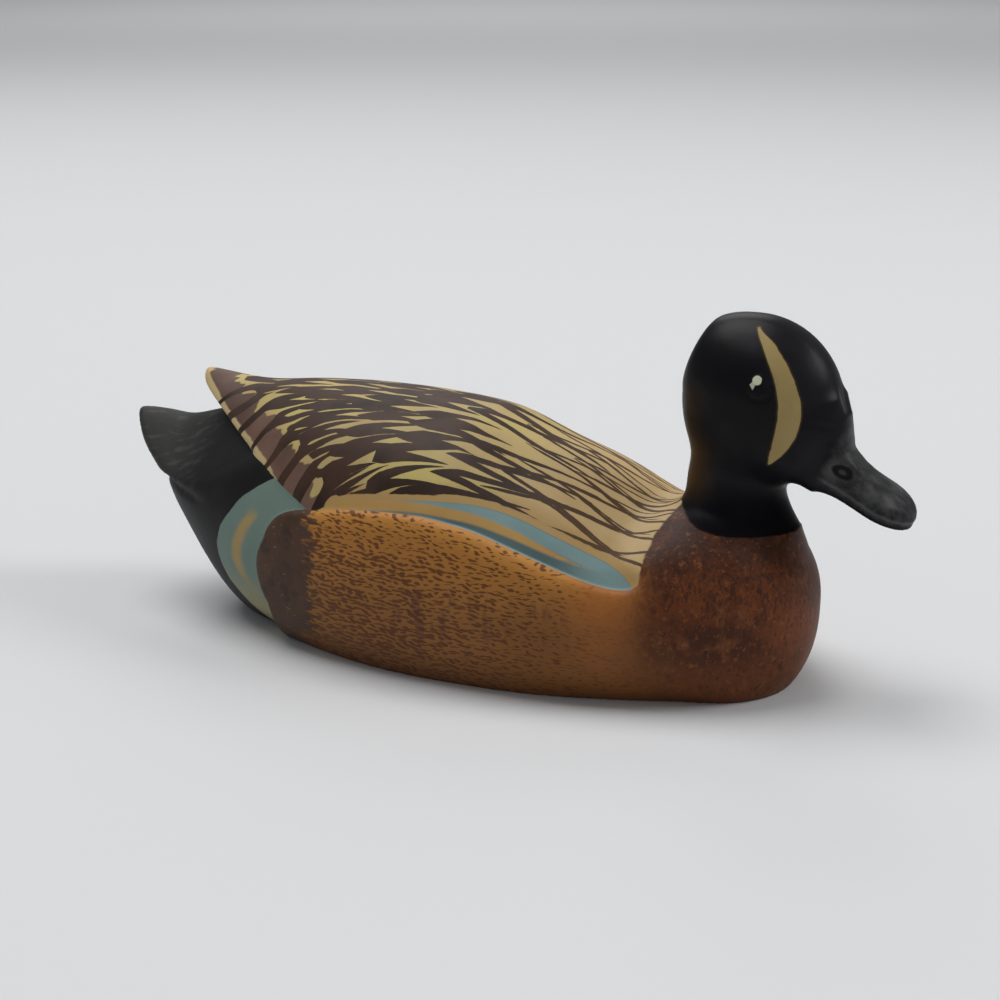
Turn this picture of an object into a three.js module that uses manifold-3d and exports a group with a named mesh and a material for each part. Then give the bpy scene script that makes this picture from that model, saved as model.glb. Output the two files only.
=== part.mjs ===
// A small hand-painted duck drake, made in one piece with a flat underside.
// Millimetres. +X is the way the duck faces, +Z is up, Z = 0 is the underside and Y = 0 its middle plane.

import * as THREE from "three";
import { ParametricGeometry } from "three/addons/geometries/ParametricGeometry.js";
import { mergeVertices } from "three/addons/utils/BufferGeometryUtils.js";
import Module from "manifold-3d";

const wasm = await Module();
wasm.setup();

// The body is a boat-like form. Its sections are superellipses about the level `widest`.
const BODY = {
  halfWidth: 28.5,
  widest: 15,
  front: 62,
  planPowerFront: 2.4,
  planPowerRear: 2.0,
  widthPower: 2.15,
  upPower: 2.05,
  downPower: 2.6,
};

// The back's height above `widest`, from the saddle at X = 0 to the nape, the breast and the wing tips.
const BACK = { height: 29.3, napeFall: 29.2, napePower: 1.38, breastHeight: 26.5, breastFall: 0.0123 };
const SADDLE = { rise: 1.7, dip: 1.1, dipX: -48, dipSpread: 9, tipRise: 0.5 };

// How far the body's sides would run on below the underside: less at the stern, which is rounder there.
const KEEL = { depth: 24.5, sternLoss: 6.5, breastGain: 9 };

// The folded wings overhang the rump: their underside rises straight from the flanks to the tips.
const WING = { rear: 62, inset: 1, tipX: -62, tipUnderZ: 43.6, undercutSlope: 0.39, rootX: -10, rootZ: 2 };

// Flanks and breast stand proud of the back. Their edge is an arc that ends in a notch before the neck.
const FLANK = {
  rear: 59, edgeTopX: -12, edgeTopZ: 28.2, edgeFall: 0.004, edgeRearX: -26,
  capX: -36.2, capZ: 14, capRound: 2, napeX: 39, notch: 5, share: 0.78,
};

// The rump narrows to a raked stern, and its roof runs out into a drooping tail fan.
const STERN = {
  rear: 53.35, rake: 0.68, inset: 1.2, upperInset: 1.3, insetFromZ: 20, insetToZ: 32,
  height: 28.5, frontReach: 6, topZ: 40,
};
const ROOF = {
  z: 35.9, rise: 0.25, riseFrom: -63, dip: 0.5, dipX: -65, dipSpread: 4,
  slope: 1.1, round: 2, roundGain: 0.58, roundFrom: -61, soft: 2.5, tailX: -85, halfSpan: 40, depth: 60,
};
const FAN = { proud: 0.4, sunk: 2.4, thickness: 3.6, frontX: -48, fullX: -66 };

const NECK = {
  x: 48.2, waistX: 46.6, waistZ: 34, footZ: 28, radius: 8.2, spread: 0.38, widthRatio: 0.9,
  bottomZ: 19, tuckZ: 23, tuck: 0.9, bendZ: 36, topZ: 50, forward: 3, swell: 1,
};
const HEAD = {
  x: 51.4, z: 51, halfLength: 14, halfWidth: 10.6, up: 13.1, down: 14.7, lean: 0.17,
  browTaper: 0.12, crownTaper: 0.1, planPower: 2.25, power: 2.1, jawPower: 2.6,
};
const BILL = {
  x: 63, z: 40, pitch: THREE.MathUtils.degToRad(24.7), length: 16.7, back: 5,
  halfWidth: 5.1, spoon: 1.3, spoonFrom: 3, spoonTo: 12, lipLevel: -1.5, tipFrom: 9.5, tipPower: 2.4,
  ridge: 2.6, ridgeRise: 4.4, ridgeFade: 4, jaw: 1.5, throat: 1.7, throatFade: 2, jawInset: 0.45,
  power: 2.5, jawPower: 2.2,
};
const EYE = { x: 53.8, z: 53.7, radius: 2.5, ring: 0.42, dome: 0.35, sunk: 0.1, turnOut: 0.13, tip: 0.1 };
const NOSTRIL = { along: 4.6, y: 3.1, level: 0.86, halfLength: 1.7, halfWidth: 0.8, depth: 0.9 };

// The space the figurine stands in, which cutting shapes run out to.
const SPACE = { rear: -100, front: 100, top: 80 };

const PAINT = { color: 0x9a6233, roughness: 0.5, metalness: 0 };

// Numbers of stations and of points round each section.
const DETAIL = {
  bodyStations: 36, bodyTurns: 36, stern: [16, 36], roof: [16, 24],
  neck: [9, 24], head: [16, 28], bill: [14, 20], eye: [6, 12], arc: 14,
};

const { lerp, clamp, smoothstep } = THREE.MathUtils;

/** Grows from 0 to a straight line past `from`, with a soft bend of width `soft`. */
function ramp(value, from, soft) {
  return soft * Math.log1p(Math.exp((value - from) / soft));
}

function smoothMax(a, b, soft) {
  const h = clamp(0.5 + (0.5 * (a - b)) / soft, 0, 1);
  return lerp(b, a, h) + soft * h * (1 - h);
}

/** A cosine or sine bent so that the pair traces a superellipse. */
function bent(value, power) {
  return Math.sign(value) * Math.abs(value) ** (2 / power);
}

function flipTriangles(index) {
  for (let i = 0; i < index.length; i += 3) {
    [index[i], index[i + 1]] = [index[i + 1], index[i]];
  }
}

/** Turns a closed geometry into a solid: shared vertices, no zero triangles, faces pointing out. */
function solid(geometry) {
  geometry.deleteAttribute("normal");
  geometry.deleteAttribute("uv");
  const merged = mergeVertices(geometry, 1e-4);
  const source = merged.index.array;
  const index = [];
  for (let i = 0; i < source.length; i += 3) {
    const [a, b, c] = [source[i], source[i + 1], source[i + 2]];
    if (a !== b && b !== c && c !== a) {
      index.push(a, b, c);
    }
  }
  const vertProperties = new Float32Array(merged.attributes.position.array);
  const make = () => new wasm.Manifold(
    new wasm.Mesh({ numProp: 3, vertProperties, triVerts: new Uint32Array(index) }),
  );
  const first = make();
  if (first.volume() > 0) {
    return first;
  }
  flipTriangles(index);
  return make();
}

/** A solid through closed rings: ring(station, turn), both from 0 to 1, gives a point. Its ends are flat. */
function loft(ring, [stations, turns]) {
  const rows = stations + 2;
  const centre = (station) => {
    const sum = new THREE.Vector3();
    for (let k = 0; k < turns; k++) {
      sum.add(ring(station, k / turns));
    }
    return sum.divideScalar(turns);
  };
  const ends = [centre(0), centre(1)];
  const surface = (turn, along, target) => {
    const row = Math.round(along * rows);
    if (row === 0 || row === rows) {
      target.copy(ends[row === 0 ? 0 : 1]);
    } else {
      target.copy(ring((row - 1) / (rows - 2), turn % 1));
    }
  };
  return solid(new ParametricGeometry(surface, turns, rows));
}

/** A solid across the whole width whose side view is `shape`, drawn with X forward and Y up. */
function sideCut(shape) {
  const width = 4 * BODY.halfWidth;
  const geometry = new THREE.ExtrudeGeometry(shape, {
    depth: width, bevelEnabled: false, curveSegments: DETAIL.arc,
  });
  geometry.rotateX(Math.PI / 2);
  geometry.translate(0, width / 2, 0);
  return solid(geometry);
}

/** Height of the body's section above its widest level. */
function heightAt(x) {
  if (x > 0) {
    const share = x / BODY.front;
    const back = BACK.height - BACK.napeFall * share ** BACK.napePower;
    const breast = BACK.breastHeight - BACK.breastFall * (BODY.front - x) ** 2;
    return smoothMax(back, breast, 3);
  }
  const dip = SADDLE.dip * Math.exp(-(((x - SADDLE.dipX) / SADDLE.dipSpread) ** 2));
  return BACK.height + SADDLE.rise * smoothstep(-x, 7, 29) - dip + SADDLE.tipRise * smoothstep(-x, 53, 63);
}

/** Depth of the body's section below its widest level, before the underside is cut flat. */
function depthAt(x) {
  return KEEL.depth - KEEL.sternLoss * smoothstep(-x, 0, 40) + KEEL.breastGain * smoothstep(x, 25, 55);
}

/** A point of the body's section at x. `rear` is the length behind X = 0, `inset` is measured inward. */
function bodyPoint(x, turn, rear, inset) {
  const front = x > 0;
  const share = front ? x / BODY.front : -x / rear;
  const full = Math.max(0, 1 - share ** (front ? BODY.planPowerFront : BODY.planPowerRear));
  const angle = 2 * Math.PI * turn;
  const up = Math.sin(angle) > 0;
  const power = up ? BODY.upPower : BODY.downPower;
  const width = (BODY.halfWidth - inset) * full ** (1 / BODY.widthPower);
  const height = (up ? heightAt(x) - inset : depthAt(x)) * (front ? full ** (1 / power) : 1);
  return new THREE.Vector3(
    x,
    width * bent(Math.cos(angle), BODY.widthPower),
    BODY.widest + height * bent(Math.sin(angle), power),
  );
}

/** Station positions from the wing tips to the breast, closer together at both ends. */
function bodyStation(share) {
  const turn = Math.PI * share;
  return lerp(BODY.front - 0.02, WING.tipX + 0.05, 0.5 - 0.5 * Math.cos(turn));
}

/** The body between two of its shared stations, counted from the breast. */
function bodyLoft(first, last, rear, inset) {
  const x = (s) => bodyStation(Math.round(lerp(first, last, s)) / DETAIL.bodyStations);
  return loft((s, t) => bodyPoint(x(s), t, rear, inset), [last - first, DETAIL.bodyTurns]);
}

function makeBreastAndFlanks() {
  const form = bodyLoft(0, Math.round(DETAIL.bodyStations * FLANK.share), FLANK.rear, 0);
  const edgeZ = (x) => FLANK.edgeTopZ - FLANK.edgeFall * (x - FLANK.edgeTopX) ** 2;
  const side = new THREE.Shape();
  side.moveTo(FLANK.capX + FLANK.capRound, 0);
  side.quadraticCurveTo(FLANK.capX, FLANK.capZ / 2, FLANK.capX, FLANK.capZ);
  const shoulderZ = edgeZ(FLANK.capX) - FLANK.capRound;
  side.quadraticCurveTo(FLANK.capX, shoulderZ, FLANK.edgeRearX, edgeZ(FLANK.edgeRearX));
  const edge = [];
  for (let k = 1; k <= DETAIL.arc; k++) {
    const x = lerp(FLANK.edgeRearX, FLANK.napeX - FLANK.notch, k / DETAIL.arc);
    edge.push(new THREE.Vector2(x, edgeZ(x)));
  }
  side.splineThru(edge);
  const notchZ = edgeZ(FLANK.napeX);
  side.quadraticCurveTo(FLANK.napeX, notchZ, FLANK.napeX, notchZ + FLANK.notch);
  side.lineTo(FLANK.napeX, SPACE.top);
  side.lineTo(SPACE.front, SPACE.top);
  side.lineTo(SPACE.front, 0);
  side.closePath();
  return form.intersect(sideCut(side));
}

function makeBackAndWings() {
  const frontX = FLANK.napeX + 3;
  const form = bodyLoft(Math.round(DETAIL.bodyStations * 0.2), DETAIL.bodyStations, WING.rear, WING.inset);
  const underZ = (x) => WING.tipUnderZ - WING.undercutSlope * (x - WING.tipX);
  const side = new THREE.Shape();
  side.moveTo(SPACE.rear, underZ(SPACE.rear));
  side.lineTo(WING.rootX, underZ(WING.rootX));
  side.lineTo(WING.rootX, WING.rootZ);
  side.lineTo(frontX, WING.rootZ);
  side.lineTo(frontX, SPACE.top);
  side.lineTo(SPACE.rear, SPACE.top);
  side.closePath();
  return form.intersect(sideCut(side));
}

/** The raked stern as level slices; proud(x) grows it there and `upper` sinks its upper part. */
function makeHull(proud, upper) {
  const slice = (s, t) => {
    const z = lerp(-1, STERN.topZ, s);
    const angle = 2 * Math.PI * t;
    const rear = STERN.rear + proud(-STERN.rear - STERN.rake * z) + STERN.rake * Math.max(z, 0);
    const x = Math.cos(angle) * (Math.cos(angle) > 0 ? STERN.frontReach : rear);
    const above = z > BODY.widest;
    const rise = (z - BODY.widest) / (above ? STERN.height : depthAt(x));
    const level = Math.max(0, 1 - Math.abs(rise) ** (above ? BODY.upPower : BODY.downPower));
    const full = BODY.halfWidth + proud(x) - upper * smoothstep(z, STERN.insetFromZ, STERN.insetToZ);
    const y = full * level ** (1 / BODY.widthPower) * bent(Math.sin(angle), BODY.widthPower);
    return new THREE.Vector3(x, y, z);
  };
  return loft(slice, DETAIL.stern);
}

/** Everything under the roof of the rump and tail, lowered by `lower`. */
function makeUnderRoof(lower) {
  const [stations, turns] = DETAIL.roof;
  const roofZ = (x, y) => {
    const round = ROOF.round + ROOF.roundGain * ramp(x, ROOF.roundFrom, ROOF.soft);
    const dip = ROOF.dip * Math.exp(-(((x - ROOF.dipX) / ROOF.dipSpread) ** 2));
    const ridge = ROOF.z + ROOF.rise * ramp(x, ROOF.riseFrom, ROOF.soft) - dip;
    return ridge - ROOF.slope * (Math.hypot(y, round) - round);
  };
  const ring = (s, t) => {
    const x = lerp(ROOF.tailX, STERN.frontReach + 5, s ** 1.5);
    const k = Math.round(t * turns);
    if (k >= turns - 2) {
      return new THREE.Vector3(x, (k === turns - 2 ? 1 : -1) * ROOF.halfSpan, -ROOF.depth);
    }
    const across = lerp(-1, 1, k / (turns - 3));
    const y = ROOF.halfSpan * Math.sign(across) * across ** 2;
    return new THREE.Vector3(x, y, roofZ(x, y) - lower);
  };
  return loft(ring, [stations, turns]);
}

function makeRumpAndTail() {
  const rump = makeHull(() => -STERN.inset, STERN.upperInset).intersect(makeUnderRoof(0));
  const behind = new THREE.Shape();
  behind.moveTo(SPACE.rear, 0);
  behind.lineTo(FAN.frontX, 0);
  behind.lineTo(FAN.frontX, SPACE.top);
  behind.lineTo(SPACE.rear, SPACE.top);
  behind.closePath();
  const proud = (x) => lerp(-FAN.sunk, FAN.proud, smoothstep(-x, -FAN.frontX, -FAN.fullX));
  const fan = makeHull(proud, 0)
    .intersect(makeUnderRoof(0.01))
    .subtract(makeUnderRoof(FAN.thickness))
    .intersect(sideCut(behind));
  return rump.add(fan);
}

function makeNeck() {
  return loft((s, t) => {
    const z = lerp(NECK.bottomZ, NECK.topZ, s);
    const below = clamp((NECK.waistZ - z) / (NECK.waistZ - NECK.footZ), 0, 1);
    const above = smoothstep(z, NECK.bendZ, NECK.topZ);
    const x = lerp(NECK.waistX, NECK.x, below) + NECK.forward * above;
    const flare = NECK.spread * ramp(-z, -NECK.waistZ, 2) - NECK.tuck * Math.max(0, NECK.tuckZ - z);
    const radius = NECK.radius + flare + NECK.swell * above;
    const angle = 2 * Math.PI * t;
    return new THREE.Vector3(
      x + radius * Math.cos(angle), NECK.widthRatio * radius * Math.sin(angle), z,
    );
  }, DETAIL.neck);
}

/** Half-width of the head at `ahead` of its middle and `above` it: the brow and crown are narrower. */
function headHalfWidth(ahead, above) {
  const brow = HEAD.browTaper * smoothstep(ahead, 2, HEAD.halfLength);
  return HEAD.halfWidth * (1 - brow - HEAD.crownTaper * smoothstep(above, 0, HEAD.halfLength));
}

function makeHead() {
  return loft((s, t) => {
    const polar = Math.cos(lerp(Math.PI - 0.12, 0.1, s));
    const above = polar > 0 ? HEAD.up * bent(polar, HEAD.power) : HEAD.down * bent(polar, HEAD.jawPower);
    const level = Math.max(0, 1 - polar ** 2);
    const angle = 2 * Math.PI * t;
    const length = HEAD.halfLength * level ** (1 / HEAD.planPower);
    const ahead = length * bent(Math.cos(angle), HEAD.planPower);
    const width = headHalfWidth(ahead, above) * level ** (1 / HEAD.power);
    const y = width * bent(Math.sin(angle), HEAD.power);
    return new THREE.Vector3(HEAD.x + ahead - HEAD.lean * above, y, HEAD.z + above);
  }, DETAIL.head);
}

/** A point of the bill, from `along` its axis, `across` it and `over` it. */
function billPoint(along, across, over) {
  const [cos, sin] = [Math.cos(BILL.pitch), Math.sin(BILL.pitch)];
  return new THREE.Vector3(BILL.x + along * cos + over * sin, across, BILL.z - along * sin + over * cos);
}

/** The bill's section at `along`: half-width, ridge height and jaw depth. */
function billSection(along) {
  const end = clamp((along - BILL.tipFrom) / (BILL.length - BILL.tipFrom), 0, 1);
  const round = Math.sqrt(Math.max(0, 1 - end ** BILL.tipPower));
  const ridge = BILL.ridge + BILL.ridgeRise * Math.exp(-Math.max(along, -3) / BILL.ridgeFade);
  const spread = BILL.halfWidth + BILL.spoon * smoothstep(along, BILL.spoonFrom, BILL.spoonTo);
  return {
    halfWidth: spread * round + 0.02,
    over: (ridge - BILL.lipLevel) * lerp(0.25, 1, round),
    under: BILL.jaw * lerp(0.3, 1, round) + BILL.throat * Math.exp(-Math.max(along, 0) / BILL.throatFade),
  };
}

/** The upper bill with `jaw` 0, or the lower one, a little narrower, with `jaw` 1. */
function makeMandible(jaw) {
  return loft((s, t) => {
    const along = lerp(-BILL.back, BILL.length, Math.sin((s * Math.PI) / 2)) - jaw * BILL.jawInset;
    const section = billSection(along);
    const angle = 2 * Math.PI * t;
    const up = Math.sin(angle) > 0;
    const over = up ? section.over * lerp(1, 0.4, jaw) : section.under * lerp(0.35, 1, jaw);
    const width = section.halfWidth - jaw * BILL.jawInset;
    const level = BILL.lipLevel + over * bent(Math.sin(angle), up ? BILL.power : BILL.jawPower);
    return billPoint(along, width * bent(Math.cos(angle), BILL.power), level);
  }, DETAIL.bill);
}

function ellipsoid(centre, radii, pitch) {
  const geometry = new THREE.SphereGeometry(1, DETAIL.eye[1], DETAIL.eye[0]);
  geometry.scale(...radii);
  geometry.rotateY(pitch);
  geometry.translate(...centre.toArray());
  return solid(geometry);
}

/** Distance from the middle plane to the head's surface at x, z. */
function headSurfaceY(x, z) {
  const above = z - HEAD.z;
  const ahead = x - HEAD.x + HEAD.lean * above;
  const taken = Math.abs(ahead / HEAD.halfLength) ** HEAD.planPower + Math.abs(above / HEAD.up) ** HEAD.power;
  return headHalfWidth(ahead, above) * (1 - taken) ** (1 / HEAD.power);
}

/** Each eye is a low dome inside a cut ring. */
function carveFace(head) {
  let face = head;
  for (const side of [-1, 1]) {
    const y = side * headSurfaceY(EYE.x, EYE.z);
    const groove = new THREE.TorusGeometry(EYE.radius, EYE.ring, 6, 2 * DETAIL.eye[1]);
    groove.rotateX(Math.PI / 2);
    groove.rotateZ(side * EYE.turnOut);
    groove.rotateX(-side * EYE.tip);
    groove.translate(EYE.x, y, EYE.z);
    face = face.subtract(solid(groove));
    const dome = new THREE.Vector3(EYE.x, y - side * EYE.sunk, EYE.z);
    const domeRadius = EYE.radius - EYE.ring;
    face = face.add(ellipsoid(dome, [domeRadius, EYE.dome, domeRadius], 0));
    const over = BILL.lipLevel + billSection(NOSTRIL.along).over * NOSTRIL.level;
    const nostril = billPoint(NOSTRIL.along, side * NOSTRIL.y, over);
    face = face.subtract(
      ellipsoid(nostril, [NOSTRIL.halfLength, NOSTRIL.halfWidth, NOSTRIL.depth], BILL.pitch),
    );
  }
  return face;
}

function makeDuck() {
  const above = new THREE.Shape();
  above.moveTo(SPACE.rear, 0);
  above.lineTo(SPACE.front, 0);
  above.lineTo(SPACE.front, SPACE.top);
  above.lineTo(SPACE.rear, SPACE.top);
  above.closePath();
  const head = carveFace(makeHead().add(makeMandible(0)).add(makeMandible(1)));
  return makeBreastAndFlanks()
    .add(makeBackAndWings())
    .add(makeRumpAndTail())
    .add(makeNeck())
    .add(head)
    .intersect(sideCut(above));
}

function toMesh(shape, name, paint) {
  const { vertProperties, triVerts } = shape.getMesh();
  const geometry = new THREE.BufferGeometry();
  geometry.setAttribute("position", new THREE.BufferAttribute(vertProperties, 3));
  geometry.setIndex(new THREE.BufferAttribute(triVerts, 1));
  geometry.computeVertexNormals();
  const mesh = new THREE.Mesh(geometry, new THREE.MeshStandardMaterial(paint));
  mesh.name = name;
  return mesh;
}

const figurine = new THREE.Group();
figurine.add(toMesh(makeDuck(), "duck_figurine", PAINT));

export default figurine;
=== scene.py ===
"""A small hand-painted duck drake in one piece, standing on a pale floor.

The duck's lengths are millimetres: x runs the way it faces, y to its left and z up from its flat
underside. The stage is in metres.
"""

import math

import bpy
import numpy as np
from mathutils import Euler, Matrix, Vector


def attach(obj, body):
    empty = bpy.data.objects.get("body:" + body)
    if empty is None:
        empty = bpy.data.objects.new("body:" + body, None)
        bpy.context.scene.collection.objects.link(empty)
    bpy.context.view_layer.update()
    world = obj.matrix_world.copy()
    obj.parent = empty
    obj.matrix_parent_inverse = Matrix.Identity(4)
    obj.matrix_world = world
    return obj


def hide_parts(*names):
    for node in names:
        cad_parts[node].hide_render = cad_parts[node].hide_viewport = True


MM = 0.001

# The form. Three numbers are a rise (height, from, to) or a bump (height, middle, spread).
# A pair whose name ends in an axis is the range that something fades over.
BODY = {"half": 28.5, "widest": 15.0, "front": 61.6, "plan_front": 2.4, "plan_rear": 2.0,
        "side": 2.15, "up": 2.05, "down": 2.6}
BACK = {"top": 29.3, "fall": 29.2, "fall_power": 0.69, "blunt": 0.006, "blend": 3.0,
        "wing_rise": (1.7, -7, -29), "saddle": (-1.1, -48, 9), "tip_rise": (0.5, -53, -63),
        "shoulder": (1.35, -11, 12), "hollow": (-1.3, 12, 9)}
BREAST = {"top": 26.5, "curve": 0.0123, "lowest": -20}
KEEL = {"depth": 25.5, "rear_rise": (-6.5, 0, -40), "chest_rise": (-2.5, 34, 14), "front_drop": (6, 42, 58)}
STERN = {"rear": 53.6, "rake": 0.68, "rake_top": 40}
ROOF = {"ridge": 35.9, "climb": 0.25, "climb_from": -63, "climb_soft": 2.0, "dip": (-0.5, -65, 4),
        "round": 2, "widen": 0.58, "widen_from": -61, "widen_soft": 2.5, "pitch": 1.1, "slant": 0.75}
RUMP = {"sunk": 1.2, "sunk_above": (1.3, 20, 32), "blend": 1.0}
FAN = {"front_x": -45.0, "back_x": -60.0, "proud": 0.1, "in_below": (0.9, 31, 25), "in_ahead": 3.4,
       "ledge_z": 25.2, "ledge_rake": 0.1, "ledge_blend": 0.7, "roof_blend": 1.6, "blend": 0.25,
       "crease": (0.75, 0.5, 0.8), "crease_x": (-48, -54)}
WING = {"rear": 62.0, "tip": (-62.0, 43.6), "undercut": 0.437, "blend": 1.0,
        "sunk": 1.0, "front_out": (0.9, 27, 38), "front_out_z": (20.5, 25)}
FLANK = {"rear": 59.0, "blend": 0.7}
POCKET_EDGE = ((-40, 24), (-30, 26.2), (-22, 27.4), (-16, 28.3), (-9, 28.9), (-1, 29.1), (8.6, 27.7),
               (18, 24.9), (25, 22.7), (29, 21.4), (33.4, 20.3), (36, 20.2), (39, 21), (46, 23))
POCKET = {"nape_x": 38.7, "corner": 2.6}
CAP = {"x": -22.6, "z": 14.6, "radius": 13.2, "squash": 1.1, "foot": 7.0, "lead": 3.0, "lead_over": 10,
       "blend": 1.5}
NECK = {"x": 48.2, "back": 1.4, "back_from": 28, "back_over": 7, "ahead": (3, 36, 50),
        "radius": 8.1, "least_radius": 4, "narrow": 0.9, "flare": 0.3, "flare_z": 34, "flare_soft": 2.0,
        "tuck": 1.2, "tuck_z": 23, "tuck_soft": 1.5, "slim": (-2.5, 41, 50),
        "reach_x": 49, "reach": 13.5, "bottom": 18, "top": 52, "blend": 2}
HEAD = {"x": 51.0, "z": 51.0, "long": 13.6, "half": 10.6, "up": 13.1, "down": 15.0, "lean": 0.17,
        "chin_x": (-8, 6), "face_slim": (0.12, 2, 14), "crown_slim": (0.1, 0, 14),
        "along": 2.25, "across": 2.1, "above": 2.1, "below": 2.6,
        "nape_x": 39.0, "nape_z": 56.0, "nape_rake": 0.42, "nape_blend": 1.6}
CROWN = {"carve": 0.22, "z": (54, 61), "back_x": (45, 53), "front_x": (55, 63),
         "inner_y": (3.0, 4.2), "outer_y": (6.0, 9.5)}
EYE = {"x": 53.6, "z": 54.0, "radius": 1.9, "proud": 0.14, "groove": (0.16, 1.18, 0.16), "side_y": (5, 7)}
BILL = {"x": 62.6, "z": 39.2, "pitch": math.radians(24.7), "long": 16.6, "lip": -1.35,
        "half": 5.1, "spread": (1.3, 3, 12), "thinnest": 0.02, "slim_above": (0.6, 2.5, 9),
        "round_from": 9.5, "round": 2.4, "top": 2.6, "under": 1.15, "dish": (0.35, 2, 6),
        "root_top": 4.5, "root_top_from": -1, "root_top_over": 4, "root_under": 1.7, "root_under_over": 2,
        "square": 3.0, "square_under": 2.2, "gape": (0.22, 0.2, 0.4), "gape_x": (0.5, 2.5),
        "root": -5, "root_blend": 3.0, "ball_at": 5.6, "ball": 14}
NOSTRIL = {"along": 3.1, "over": 2.1, "long": 2.1, "tall": 1.35, "deep": 0.5,
           "rim": (0.07, 1.35, 0.2), "tongue": (0.28, 0, 0.45), "side_y": (1.5, 2.5)}
FILLET = {"wing": 0.7, "flank": 0.5, "bill": 1.2, "bill_more": (2.6, 3.5, 6.5), "head": 2.5, "neck": 2.4}
CURVE_SAMPLES = 200
CURVE_WINDOW = 15
PROBE = 0.05


def blend_min(a, b, k):
    """The least of a and b, rounded where they are within k of each other."""
    h = np.clip(0.5 + 0.5 * (b - a) / k, 0, 1)
    return b + (a - b) * h - k * h * (1 - h)


def blend_max(a, b, k):
    """The largest of a and b, rounded in the same way."""
    return -blend_min(-a, -b, k)


def step(x, a, b):
    """Goes smoothly from 0 to 1 as x goes from a to b."""
    t = np.clip((x - a) / (b - a), 0, 1)
    return t * t * (3 - 2 * t)


def rise(x, height, start, end):
    return height * step(x, start, end)


def bump(x, height, middle, spread):
    return height * np.exp(-(((x - middle) / spread) ** 2))


def ramp(x, soft):
    """Zero below zero and x above it, with a soft corner."""
    return soft * np.logaddexp(0, x / soft)


def power(x, n):
    return np.abs(x) ** n


def on_curve(curve, t):
    """The value at t of a smooth curve near points given as (t, value)."""
    knots, values = np.array(curve, float).T
    fine = np.linspace(knots[0], knots[-1], CURVE_SAMPLES)
    rough = np.pad(np.interp(fine, knots, values), CURVE_WINDOW // 2, "edge")
    soft = np.convolve(rough, np.ones(CURVE_WINDOW) / CURVE_WINDOW, "valid")
    return np.interp(t, fine, soft)


def measured(gauge, x, y, z):
    """A gauge that is zero on a surface, scaled to the distance from that surface."""
    f = gauge(x, y, z)
    gx = gauge(x + PROBE, y, z) - f
    gy = gauge(x, y + PROBE, z) - f
    gz = gauge(x, y, z + PROBE) - f
    return f * PROBE / np.sqrt(gx * gx + gy * gy + gz * gz + 1e-10)


def back_height(x):
    """Height of the back and the breast above the body's widest level."""
    share = np.clip(x / BODY["front"], 0, 1.05)
    bend, blunt = BACK["fall_power"], BACK["blunt"]
    back = BACK["top"] - BACK["fall"] * ((share ** 2 + blunt) ** bend - blunt ** bend)
    breast = np.maximum(BREAST["top"] - BREAST["curve"] * (BODY["front"] - x) ** 2, BREAST["lowest"])
    front = blend_max(back, breast, BACK["blend"])
    rear = BACK["top"] + rise(x, *BACK["wing_rise"]) + bump(x, *BACK["saddle"]) + rise(x, *BACK["tip_rise"])
    hump = bump(x, *BACK["shoulder"]) + bump(x, *BACK["hollow"])
    return np.where(x > 0, front, rear) + hump


def keel_depth(x):
    """Depth that the rounding aims at below the widest level. The flat underside cuts it off."""
    depth = KEEL["depth"] + rise(x, *KEEL["rear_rise"]) + bump(x, *KEEL["chest_rise"])
    return depth + rise(x, *KEEL["front_drop"])


def body_gauge(rear):
    """A gauge of the body's egg shape, which ends behind at the length that rear gives for a height."""
    def gauge(x, y, z):
        share = np.where(x > 0, x / BODY["front"], -x / (rear(z)))
        above = z > BODY["widest"]
        tall = np.where(above, back_height(x), keel_depth(x))
        off = np.abs(z - BODY["widest"]) / tall
        zn = np.where(above, off ** BODY["up"], off ** BODY["down"])
        xn = np.where(x > 0, share ** BODY["plan_front"], share ** BODY["plan_rear"])
        yn = power(y / BODY["half"], BODY["side"])
        a, b = 1 - xn, 1 - zn
        product = np.where((a > 0) & (b > 0), a * b, np.minimum(a, b))
        return np.where(x > 0, yn + xn + zn - 1, yn - product)
    return gauge


def stern_rear(z):
    return STERN["rear"] + STERN["rake"] * np.clip(z, 0, STERN["rake_top"])


def roof_z(x, y):
    """Top of the tail: a rounded ridge that widens towards the wings."""
    r = ROOF["round"] + ROOF["widen"] * ramp(x - ROOF["widen_from"], ROOF["widen_soft"])
    climb = ROOF["climb"] * ramp(x - ROOF["climb_from"], ROOF["climb_soft"])
    ridge = ROOF["ridge"] + climb + bump(x, *ROOF["dip"])
    return ridge - ROOF["pitch"] * (np.sqrt(y * y + r * r) - r)


def pocket_edge(x):
    return on_curve(POCKET_EDGE, x)


def wing_under(x, z):
    """Height over the slanting underside of the wings' free end."""
    tip_x, tip_z = WING["tip"]
    return (z - tip_z + WING["undercut"] * (x - tip_x)) / math.hypot(1, WING["undercut"])


def flank_region(x, z):
    """Below zero on the flanks and breast, in side view."""
    pocket = blend_max(pocket_edge(x) - z, x - POCKET["nape_x"], POCKET["corner"])
    drop = np.where(z > CAP["z"], z - CAP["z"], np.minimum(CAP["squash"] * (CAP["z"] - z), CAP["foot"]))
    cap = np.hypot(np.minimum(x - CAP["x"], 0), drop) - CAP["radius"]
    cap = cap - CAP["lead"] * step(x, CAP["x"], CAP["x"] + CAP["lead_over"])
    return blend_max(-pocket, cap, CAP["blend"])


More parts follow.
